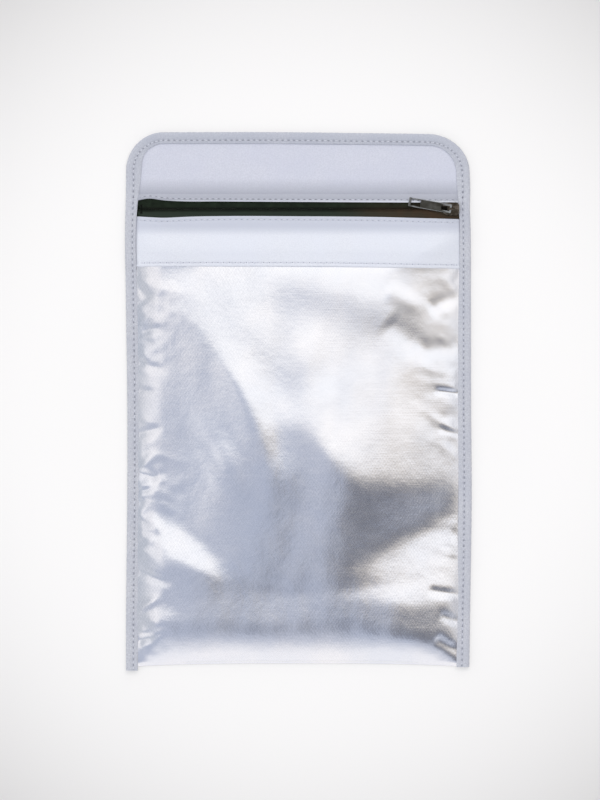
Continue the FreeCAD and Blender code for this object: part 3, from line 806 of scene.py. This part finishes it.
def binding(name, path, marks):
    """A stretch of the tape folded round the edge, as a closed tube through its section."""
    side = inward(path)
    widths = binding_width(path)
    insets = binding_inset(path)
    pull = (0.5 + 0.5 * np.cos(2 * np.pi * marks / STITCH_PITCH)) ** 3
    long_noise = wobble(marks, marks * 0, 18, 21)
    edge_noise = wobble(marks, marks * 0, 4, 23)
    inner_noise = wobble(marks, marks * 0, 9, 25)
    lift = lift_over_seam(path[:, 1])
    vertices = []
    uvs = []
    for index, (point, normal) in enumerate(zip(path, side)):
        beyond = (widths[index] - insets[index]) / (SECTION_WIDTH - SECTION_INSET)
        for section_across, height, pulled in BINDING_SECTION:
            across = section_across * MM
            within = min(across, SECTION_INSET) / SECTION_INSET
            inner = max(across - SECTION_INSET, 0)
            a = within * insets[index] + inner * beyond
            a += (1 - within) * (edge_noise[index] * 0.07 + pull[index] * 0.10) * MM
            a += inner / (SECTION_WIDTH - SECTION_INSET) * inner_noise[index] * 0.12 * MM
            z = height * MM - pulled * pull[index] * 0.6 * MM
            if height > 2.05:
                z += lift[index] + (long_noise[index] * 0.08 + edge_noise[index] * 0.02) * MM
            elif height > 1.0:
                z += lift[index] * 0.5
            vertices.append((point[0] + normal[0] * a, point[1] + normal[1] * a, z))
            uvs.append((marks[index], across))
    piece = new_piece(name, vertices, tube_faces(0, len(path), len(BINDING_SECTION)), uvs)
    piece.data.set_sharp_from_angle(angle=SHARP)
    return piece


def add_hole_shade_bead(place, vertices, faces, uvs):
    """Adds a small dark bead of painted shade at a needle hole."""
    rings = ((0.46, -0.25), (0.46, 0.03), (0.2, 0.09))  # radius and height in millimetres
    sides = 10
    first = len(vertices)
    for radius, height in rings:
        for side in range(sides):
            turn = 2 * math.pi * side / sides
            offset = np.array((math.cos(turn), math.sin(turn), 0)) * radius * MM
            vertices.append(tuple(place + offset + np.array((0, 0, height * MM))))
            # Past a stitch's end in u, so the bead takes the thread's painted hole shade.
            uvs.append((STITCH_LENGTH, radius * MM))
    faces += tube_faces(first, len(rings), sides)


def stitches(name, line, seed, steps=0):
    """A row of separate stitches along a line on a surface, one to every so many steps of it."""
    if not steps:
        steps = 4
        line, _ = spaced(line, STITCH_PITCH / steps)
    random = np.random.default_rng(seed)
    rings = 7
    sides = 8
    vertices = []
    uvs = []
    faces = []
    for start in range(steps // 2, len(line) - 1, steps):
        middle = line[start]
        run = line[start + 1] - line[start - 1]
        run = run / np.linalg.norm(run)
        across = np.cross((0, 0, 1), run)
        across /= np.linalg.norm(across)
        run = run + across * random.uniform(-0.07, 0.07)
        length = STITCH_LENGTH * random.uniform(0.94, 1.06)
        first = len(vertices)
        for ring in range(rings):
            part = -1 + 2 * ring / (rings - 1)
            radius = STITCH_RADIUS * math.sqrt(max(1 - part**4, 0.02))
            centre = middle + run * part * length / 2
            centre = centre + np.array((0, 0, (0.10 - 0.42 * part**4) * MM))
            for side in range(sides):
                turn = 2 * math.pi * side / sides
                point = centre + across * radius * 1.15 * math.cos(turn)
                vertices.append((point[0], point[1], point[2] + radius * math.sin(turn)))
                uvs.append((part * length / 2, radius * turn))
        faces += tube_faces(first, rings, sides)
        # A bead of painted shade at the needle hole after each stitch.
        if start + steps // 2 < len(line):
            add_hole_shade_bead(line[start + steps // 2], vertices, faces, uvs)
    piece = new_piece(name, vertices, faces, uvs)
    piece.data.set_sharp_from_angle(angle=SHARP)
    return piece


def make_bindings():
    """One run of tape round the bag, cut into pieces where the flap turns."""
    path, marks = spaced(whole_outline(), STITCH_PITCH / STITCH_STEPS)
    line = path + inward(path) * binding_inset(path)[:, None]
    row = np.column_stack([line, BINDING_TOP + lift_over_seam(line[:, 1])])
    above = np.flatnonzero(path[:, 1] > NECK_MIDDLE)
    first = above[0] - above[0] % STITCH_STEPS
    last = above[-1] - above[-1] % STITCH_STEPS
    parts = (
        ("left", 0, first, over_neck, ("binding_left", "neck_binding_left"), ("binding_thread_left",)),
        ("flap", first, last, over_flap, ("flap_binding",), ("flap_binding_thread",)),
        ("right", last, len(path) - 1, over_neck, ("binding_right", "neck_binding_right"),
         ("binding_thread_right", "neck_binding_threads")),
    )
    for word, start, end, cross, tapes, threads in parts:
        tape = binding(f"soft_binding_{word}", path[start:end + 1], marks[start:end + 1])
        dress(tape, "binding_tape", cross, *tapes)
        sewn = stitches(f"stitches_binding_{word}", row[start:end + 1], 40, STITCH_STEPS)
        dress(sewn, "sewing_thread", cross, *threads)


# Cloth -----------------------------------------


def crumple(points, inside, held):
    """Crowds the foil that the side seams and the bottom fold draw in, so that it buckles there."""
    x, y, _ = np.moveaxis(points, -1, 0)
    near_side = np.exp(-(inside / (19 * MM)) ** 1.5)
    near_fold = np.exp(-(y - BOTTOM_FOLD) / (12 * MM))
    crowded = np.clip(0.42 + 1.1 * wobble(x * 0.2, y, 30, 17), 0.05, 1)
    crowded *= near_side * (0.40 + 0.60 * ease(x, 40, -40))
    ridges = 0.30 - np.abs(wobble(x * 0.45, y + 0.35 * x, 15, 9))
    ridges = ridges + wobble(x, y, 7, 19) * 0.35
    rucks = ridges * 2.3 * crowded + wobble(x, y * 0.25, 9, 11) * 0.4 * near_fold
    points[..., 2] += rucks * MM * (1 - held)
    growth = (1 + 0.008 * near_fold, 1 + 0.013 * crowded)
    keep = 0.10 - 0.093 * np.clip(near_side + near_fold, 0, 1)
    return settle(points, growth, held, keep, 160)


def make_front():
    """The foil front panel with its lower edge rolled over the fold, and its lining."""
    columns = across_bag(6, 146)
    curl = [(0.6, 0.15), (-0.1, 0.35), (-0.3, 0.75), (0.0, 1.1), (0.8, 1.35)]
    panel_end = MOUTH - 4 * MM
    body = np.linspace(BOTTOM_FOLD + 1.8 * MM, panel_end, 196)
    x = np.tile(columns, (len(curl) + len(body), 1))
    fold = bottom_fold(columns)
    y_rows = [fold + out * MM for out, _ in curl]
    for place in body:
        share = (place - BOTTOM_FOLD) / (panel_end - BOTTOM_FOLD)
        y_rows.append(fold + (panel_end - fold) * share)
    y = np.array(y_rows)
    z = front_height(x, y)
    for row, (_, height) in enumerate(curl):
        z[row] = np.minimum(height * MM, z[row])
    edge = from_side(x) - 8.0 * MM
    held = 1 - ease(edge, 0, 2.5) * ease(y - BOTTOM_FOLD, 1.5, 6)
    held = np.maximum(held, ease(y - STRIP_LOW, -6, 1))
    points = np.stack([x, y, z], axis=-1)
    points = crumple(points, np.clip(edge, 0, None), held)
    front = cloth("foil_front", *np.moveaxis(points, -1, 0), FOIL_THICK, finer=True)
    dress(front, "foil_cloth", on_bag, "front_panel")

    columns = across_bag(7, 70)
    rows = np.linspace(BOTTOM_FOLD + 3 * MM, MOUTH - 9 * MM, 90)
    x, y = np.meshgrid(columns, rows)
    height = np.maximum(front_height(x, y, 0.5) * 0.6, 1.35 * MM)
    lining = cloth("lining_front", x, y, height, LINING_THICK)
    dress(lining, "glass_lining", on_bag, "front_lining")


def flat_ripple(x, y):
    """How far the foil lifts off the surface that it lies on: slight, but a mirror shows it."""
    waves = wobble(x, y, 26, 81) + 0.5 * wobble(x, y, 11, 83)
    return np.clip(0.06 + 0.06 * waves, 0, 0.13) * MM


def tucked(distance):
    """How far cloth is up in the fold of the binding, at some distance from the outer edge."""
    return 1 - ease(distance, 7.2, 9.4)


def make_back():
    """Back panel and lining, running on over the neck."""
    for name, look, top, inset, short, replaced in (
        ("foil_back", "foil_cloth", FOIL_TOP, 2, 0.3, ("back_panel",)),
        ("lining_back", "glass_lining", LINING_TOP, 3, 2, ("back_lining", "neck_lining")),
    ):
        columns = across_bag(inset, 120)
        # Rows lie closer together where the cloth folds.
        rows = np.concatenate([np.linspace(0, 0.974, 150), np.linspace(0.976, 1, 20)])
        x, part = np.meshgrid(columns, rows)
        fold = bottom_fold(columns) + short * MM
        y = fold + (NECK_MIDDLE - fold) * part
        z = top + TUCK_RISE * tucked(from_side(x))
        if look == "foil_cloth":
            z = z + flat_ripple(x, y)
        dress(cloth(name, x, y, z, FOIL_THICK), look, over_neck, *replaced)


def flap_grid(inset, columns, rows, start=NECK_MIDDLE):
    """A grid that fills the flap's outline, drawn in by inset."""
    turn = np.linspace(-1, 1, columns)
    x_row = (LEFT + RIGHT) / 2 + (RIGHT - LEFT - 2 * inset) / 2 * np.sin(turn * math.pi / 2)
    x = np.tile(x_row, (rows, 1))
    part = np.linspace(0, 1, rows)[:, None] ** 1.3  # closer together where it folds
    y = start + (flap_top(x_row, inset) - start) * part
    return x, y


def rim_distance(x, y):
    """Roughly how far a point of the flap is from its outer edge."""
    return np.minimum(from_side(x), flap_top(np.clip(x, LEFT, RIGHT)) - y)


def make_flap_cloth():
    x, y = flap_grid(2.5 * MM, 150, 50)
    z = FOIL_TOP + TUCK_RISE * tucked(rim_distance(x, y)) + flat_ripple(x, y)
    dress(cloth("foil_flap", x, y, z, FOIL_THICK), "foil_cloth", over_flap, "flap_cloth", "neck_cloth")
    x, y = flap_grid(3.5 * MM, 60, 20)
    z = LINING_TOP + 0.5 * MM * tucked(rim_distance(x, y))
    dress(cloth("lining_flap", x, y, z, LINING_THICK), "glass_lining", over_flap, "flap_lining")


def hook_edge(x):
    """Lower edge of the hook tape: it rides up where the zip's end bunches on the left."""
    return through(x, [(-116, 133.0), (-107, 133.8), (-99, 134.9), (-90, 133.8), (-80, 133.2), (-52, 133.0),
                       (0, 132.7), (70, 132.3), (116, 132.2)])


def hook_height(x, y):
    """Top of the hook tape, climbing onto the zip's tape at its lower edge."""
    climb = 1 - smooth(y, hook_edge(x) + 0.4 * MM, NECK_MIDDLE)
    inside = ease(np.minimum(x - left_edge(y), right_edge(y) - x), 7.2, 12)
    rise = 3.45 * MM * climb * (0.35 + 0.65 * inside)
    flat = 2.10 * MM + 0.10 * MM * wobble(x, y, 28, 51) * inside
    return flat + rise - 0.25 * MM * (1 - ease(rim_distance(x, y), 6, 8.5))


def make_hook_tape():
    columns = across_bag(4.5, 230)
    x, part = np.meshgrid(columns, np.linspace(0, 1, 24))
    edge = hook_edge(columns)
    y = edge + (NECK_MIDDLE + 0.3 * MM - edge) * part
    lapped = 0.02 * MM * (y > NECK_MIDDLE)  # the upper piece starts here and hides this one's end
    lower = cloth("hook_lower", x, y, hook_height(x, y) - lapped, 0.8 * MM)
    dress(lower, "hook_tape", over_neck, "hook_tape_edge", "neck_hook_tape")
    x, y = flap_grid(4.5 * MM, 230, 60)
    upper = cloth("hook_upper", x, y, hook_height(x, y), 0.8 * MM)
    dress(upper, "hook_tape", over_flap, "hook_tape")
    columns = across_bag(9.5, 400)
    y = hook_edge(columns) + 1.6 * MM
    row = stitches("stitches_hook", np.column_stack([columns, y, hook_height(columns, y)]), 61)
    dress(row, "sewing_thread", over_neck, "hook_tape_thread")


def strip_top(x):
    """Upper edge of the loop strip, which sags a little at both ends of the zip."""
    return through(x, [(-116, 123.2), (-107, 123.1), (-98, 122.5), (-89, 122.1), (-80, 122.5), (-70, 122.9),
                       (-52, 123.2), (0, 123.1), (60, 122.5), (82, 121.9), (106, 121.4), (116, 121.3)])


def strip_low(x):
    return through(x, [(-116, 89.6), (-40, 89.6), (20, 89.4), (90, 88.4), (116, 88.2)])


def strip_height(x, y):
    sunk = 0.9 * MM * (1 - ease(from_side(x), 5, 8.5))
    edge = np.minimum(y - strip_low(x), strip_top(x) - y)
    rounded = 0.35 * MM * (1 - ease(edge, 0, 1.2))
    sewn = 0.3 * MM * np.exp(-(((strip_top(x) - STRIP_ROW_HIGH - y) / (0.9 * MM)) ** 2))
    sewn += 0.25 * MM * np.exp(-(((strip_low(x) + STRIP_ROW_LOW - y) / (0.9 * MM)) ** 2))
    return front_height(x, y) + STRIP_THICK - sunk - rounded - sewn + 0.12 * MM * wobble(x, y, 22, 71)


def make_strip():
    columns = across_bag(5, 230)
    x, part = np.meshgrid(columns, np.linspace(0, 1, 60))
    y = strip_low(columns) + (strip_top(columns) - strip_low(columns)) * part
    strip = cloth("loop_strip", x, y, strip_height(x, y), STRIP_THICK)
    dress(strip, "loop_tape", on_bag, "loop_tape")
    columns = across_bag(9.5, 400)
    for word, y, seed in (("high", strip_top(columns) - STRIP_ROW_HIGH, 73),
                          ("low", strip_low(columns) + STRIP_ROW_LOW, 75)):
        line = np.column_stack([columns, y, strip_height(columns, y)])
        row = stitches(f"stitches_strip_{word}", line, seed)
        dress(row, "pale_thread", on_bag, f"loop_thread_{word}")


def zip_height(x, y):
    """Top of the zip's tapes: flat over the coils, diving under the bindings at both ends."""
    inside = ease(from_side(x), 4.5, 15)
    off = np.abs(y - ZIP_LINE)
    coil = 0.12 * MM * (1 - ease(off, 2.4, 3.4))
    groove = 0.15 * MM * np.exp(-(((off - 3.6 * MM) / (0.6 * MM)) ** 2))
    return 2.2 * MM + (ZIP_TOP - 2.2 * MM) * inside + coil - groove


def make_zip():
    columns = across_bag(5.5, 260)
    gap = 0.12 * MM
    halves = (("lower", MOUTH - 6 * MM, ZIP_LINE - gap), ("upper", ZIP_LINE + gap, MOUTH + 13 * MM))
    for word, start, end in halves:
        x, y = np.meshgrid(columns, np.linspace(start, end, 34))
        z = zip_height(x, y)
        if word == "upper":
            z = np.minimum(z, hook_height(x, np.maximum(y, hook_edge(x))) - 0.85 * MM)
        else:
            under_strip = strip_height(x, np.minimum(y, strip_top(x))) - STRIP_THICK - 0.1 * MM
            z = np.minimum(z, under_strip + 1.5 * np.maximum(y - strip_top(x), 0))
        tape = cloth(f"tape_{word}", x, y, z, 0.5 * MM)
        dress(tape, "zip_tape", on_bag, f"zip_tape_{word}")
    for node, look in (("zip_coil_upper", "zip_coil"), ("zip_coil_lower", "zip_coil"),
                       ("zip_slider", "slider_metal"), ("zip_pull_tab", "zip_metal")):
        part = frame["nodes"][node]
        part.data.materials.clear()
        part.data.materials.append(LOOKS[look])
    for node, width in (("zip_slider", 0.3), ("zip_pull_tab", 0.4)):
        soften = frame["nodes"][node].modifiers.new("edges", "BEVEL")
        soften.width = width * MM
        soften.segments = 3
        soften.limit_method = "ANGLE"
        soften.angle_limit = math.radians(35)


# Studio ----------------------------------------

# Ways and tones of the tent that the foil mirrors.
WINDOW_WAY = (0.12, 0.99, 0.0)
DARK_WAY = (0.19, -0.25)
DARK_REACH = 0.32  # how fast the dark patch ends to the right: under 1, it is long
TENT_GREY = (0.48, 0.52, 0.63, 1)
TENT_WHITE = (1.24, 1.23, 1.24, 1)
TENT_GLEAM = (1.14, 1.13, 1.13, 1)
TENT_DARK = (0.155, 0.165, 0.20, 1)
TENT_WARM = (0.86, 0.78, 0.68, 1)
TENT_SIDE = (0.98, 0.97, 0.99, 1)
TENT_EDGE = (0.55, 0.55, 0.58, 1)
TENT_LOW = (1.28, 1.28, 1.29, 1)
TENT_SHEEN = (0.56, 0.59, 0.65, 1)
TENT_PALE = (0.86, 0.87, 0.91, 1)


def make_floor():
    half = 1.6
    floor = new_piece("floor", [(-half, -half, 0), (half, -half, 0), (half, half, 0), (-half, half, 0)],
                      [(0, 1, 2, 3)])
    look = Look("floor", 0.9)
    look.set("Base Color", (0.61, 0.60, 0.585, 1.0))
    look.set("Specular IOR Level", 0.2)
    _, x, y = look.where()
    edge = look.maths("POWER", look.ramp(look.length(x, y), 0.16, 0.34), 2.0)
    glow = look.times(edge, -0.27, 0.375)
    rays = look.tree.nodes.new("ShaderNodeLightPath").outputs
    seen = look.maths("MAXIMUM", rays["Is Camera Ray"], rays["Is Glossy Ray"])
    light = look.add("ShaderNodeEmission", {"Color": (1, 1, 1, 1), "Strength": look.times(glow, seen)})
    both = look.add("ShaderNodeAddShader", {0: look.shader.outputs[0], 1: light})
    look.tree.links.new(both, look.tree.nodes["Material Output"].inputs["Surface"])
    floor.data.materials.append(look.material)


def make_world():
    """A white tent whose top is bright towards the flap's end and grey-blue over the bag."""
    world = bpy.data.worlds.new("room")
    bpy.context.scene.world = world
    world.use_nodes = True
    world.node_tree.nodes.clear()
    nodes = Nodes(world.node_tree)
    mix = nodes.blend
    times = nodes.times

    def step(value, start, end):
        return nodes.ramp(value, start, end, interpolation_type="SMOOTHSTEP")

    way = nodes.add("ShaderNodeTexCoord", output="Generated")
    window = Vector(WINDOW_WAY).normalized()
    toward = nodes.add("ShaderNodeVectorMath", {0: way, 1: window}, "Value", operation="DOT_PRODUCT")
    x, y, z = nodes.axes(way)
    right = nodes.minus(x, DARK_WAY[0])
    right = nodes.maths("MINIMUM", right, times(right, DARK_REACH))
    down = nodes.minus(y, DARK_WAY[1])
    down = nodes.maths("MAXIMUM", down, times(down, -1.7))
    aside = nodes.length(right, down)
    across = times(step(x, -0.26, -0.44), step(y, -0.20, -0.03))
    below = times(step(y, -0.30, -0.85), step(nodes.size(x), 0.46, 0.26))
    rays = nodes.tree.nodes.new("ShaderNodeLightPath").outputs
    bright = mix(rays["Is Glossy Ray"], TENT_WHITE, TENT_GLEAM)
    tent = mix(step(toward, -0.07, 0.14), TENT_GREY, bright)
    warm = times(step(aside, 0.30, 0.22), step(y, -0.26, -0.14))
    tent = mix(times(warm, step(x, 0.02, 0.16)), tent, TENT_WARM)
    tent = mix(step(aside, 0.29, 0.07), tent, TENT_DARK)
    tent = mix(across, tent, TENT_SIDE)
    tent = mix(below, tent, TENT_SIDE)
    sheen = mix(step(x, -0.65, 0.65), TENT_SHEEN, TENT_PALE)
    sheen = mix(step(y, -0.15, -0.75), sheen, TENT_SIDE)
    mirrored = mix(step(z, 0.87, 0.54), tent, sheen)
    tent = mix(step(z, 0.60, 0.35), tent, TENT_LOW)
    tent = mix(rays["Is Glossy Ray"], tent, mirrored)
    tent = mix(step(x, 0.66, 0.80), tent, TENT_EDGE)
    background = nodes.add("ShaderNodeBackground", {"Color": tent})
    white = nodes.add("ShaderNodeBackground")
    both = nodes.add("ShaderNodeMixShader", {0: rays["Is Camera Ray"], 1: background, 2: white})
    nodes.tree.links.new(both, nodes.tree.nodes.new("ShaderNodeOutputWorld").inputs["Surface"])


def make_lamp():
    """A soft lamp beyond the flap's end. Mirror rays pass it, so the foil mirrors only the tent."""
    data = bpy.data.lights.new("window", "AREA")
    data.shape = "RECTANGLE"
    data.size = 1.0
    data.size_y = 0.7
    data.energy = 4.5
    data.color = (1.0, 0.99, 0.97)
    lamp = bpy.data.objects.new("window", data)
    lamp.location = (0.5, 1.3, 1.6)
    lamp.rotation_mode = "QUATERNION"
    lamp.rotation_quaternion = lamp.location.to_track_quat("Z", "Y")
    lamp.visible_glossy = False
    bpy.context.scene.collection.objects.link(lamp)


def make_camera():
    """Straight above the bag, through a long lens."""
    data = bpy.data.cameras.new("camera")
    camera = bpy.data.objects.new("camera", data)
    bpy.context.scene.collection.objects.link(camera)
    bpy.context.scene.camera = camera
    height = 2.6
    view = 0.5333  # metres from the top of the picture to its bottom
    data.sensor_width = 36.0
    data.lens = data.sensor_width * height / view
    data.clip_end = 20
    camera.location = (1.3 * MM, 0.9 * MM, height)


bpy.context.scene.view_settings.view_transform = "Standard"
make_floor()
make_world()
make_camera()
make_lamp()
make_front()
make_back()
make_flap_cloth()
make_hook_tape()
make_strip()
make_zip()
make_bindings()

bpy.context.view_layer.update()
